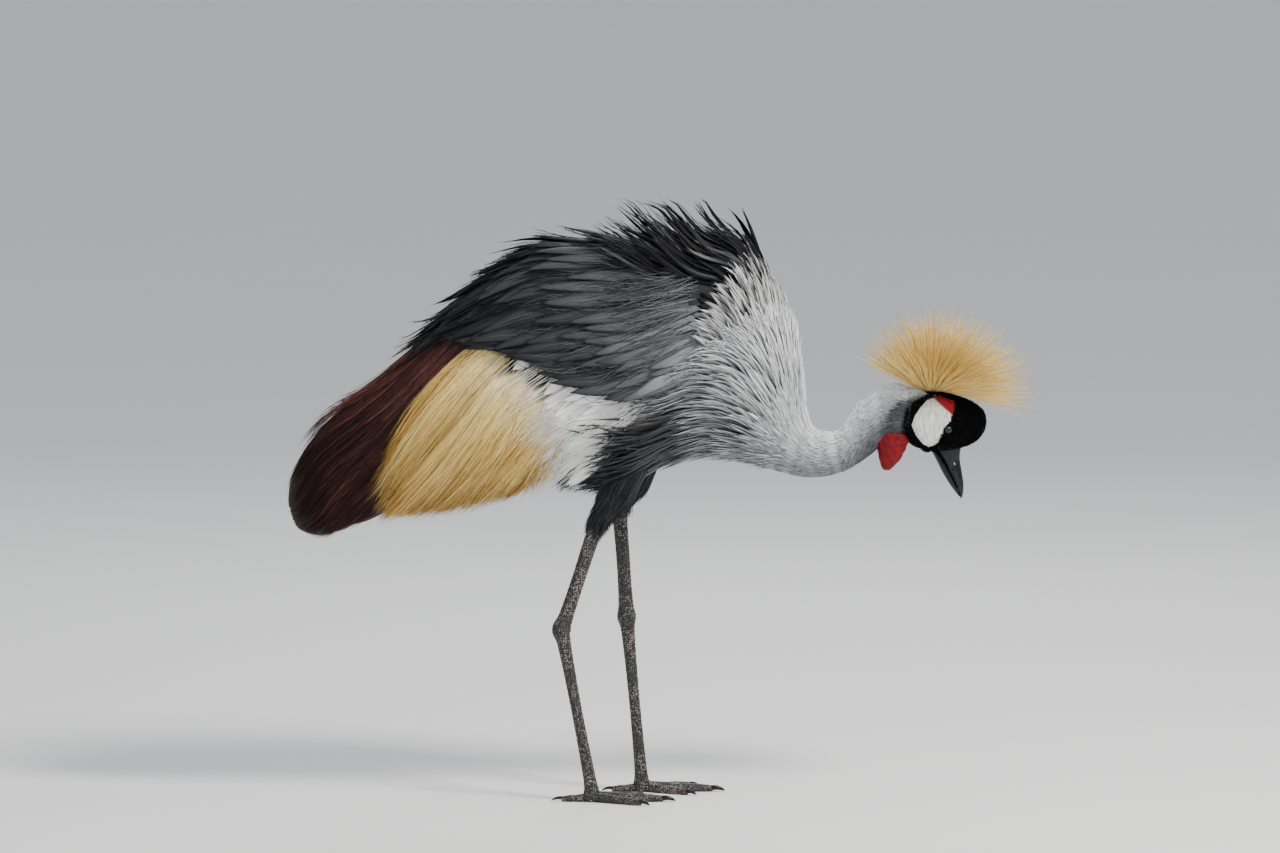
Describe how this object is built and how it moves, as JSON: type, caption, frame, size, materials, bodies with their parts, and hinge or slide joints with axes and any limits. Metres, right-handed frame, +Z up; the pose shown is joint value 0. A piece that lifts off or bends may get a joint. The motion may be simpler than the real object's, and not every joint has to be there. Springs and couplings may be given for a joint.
{
  "type": "grey crowned crane",
  "caption": "Life-size standing crane model foraging with its neck lowered: bristle crest, black velvet forehead, folded wings with hanging plumes, long scaled legs.",
  "frame": {"origin": "on the floor, under the middle of the bird's bounding box", "axes": "+X forward from tail to chest, +Y to the bird's left, +Z up"},
  "size_m": [0.8964, 0.2346, 0.7005],
  "materials": {
    "bare_red": "bare red skin",
    "bare_white": "bare white skin",
    "chestnut": "dark chestnut flight feathers",
    "gold": "loose straw-gold plumes",
    "horn": "dark horn with a soft gloss",
    "ink": "black plumage",
    "iris": "wet pale grey-blue iris",
    "pale_grey": "long pale grey hackles",
    "pearl": "fine pearl-grey plumage",
    "scale": "dark scaled skin",
    "slate": "slate-grey body and wing plumage",
    "straw": "stiff straw-gold bristles",
    "velvet": "short black velvet plumage",
    "white": "white wing coverts"
  },
  "bodies": {
    "root": {"thigh_right": "ink", "shank_right": "scale", "tarsus_right": "scale", "toe_middle_right": "scale", "claw_middle_right": "horn", "toe_inner_right": "scale", "claw_inner_right": "horn", "toe_outer_right": "scale", "claw_outer_right": "horn", "toe_hind_right": "scale", "claw_hind_right": "horn", "thigh_left": "ink", "shank_left": "scale", "tarsus_left": "scale", "toe_middle_left": "scale", "claw_middle_left": "horn", "toe_inner_left": "scale", "claw_inner_left": "horn", "toe_outer_left": "scale", "claw_outer_left": "horn", "toe_hind_left": "scale", "claw_hind_left": "horn", "torso": "slate", "neck_upper": "pearl", "neck_lower": "pearl", "breast": "pale_grey", "mantle": "ink", "wing_left": "slate", "white_coverts_left": "white", "gold_plumes_left": "gold", "tertials_left": "ink", "secondaries_left": "chestnut", "primaries_left": "ink", "cheek_left": "bare_white", "brow_left": "bare_red", "eye_left": "iris", "wing_right": "slate", "white_coverts_right": "white", "gold_plumes_right": "gold", "tertials_right": "ink", "secondaries_right": "chestnut", "primaries_right": "ink", "cheek_right": "bare_white", "brow_right": "bare_red", "eye_right": "iris", "head": "velvet", "bill_upper": "horn", "bill_lower": "horn", "wattle": "bare_red", "crest": "straw", "tail": "ink"}
  },
  "joints": []
}
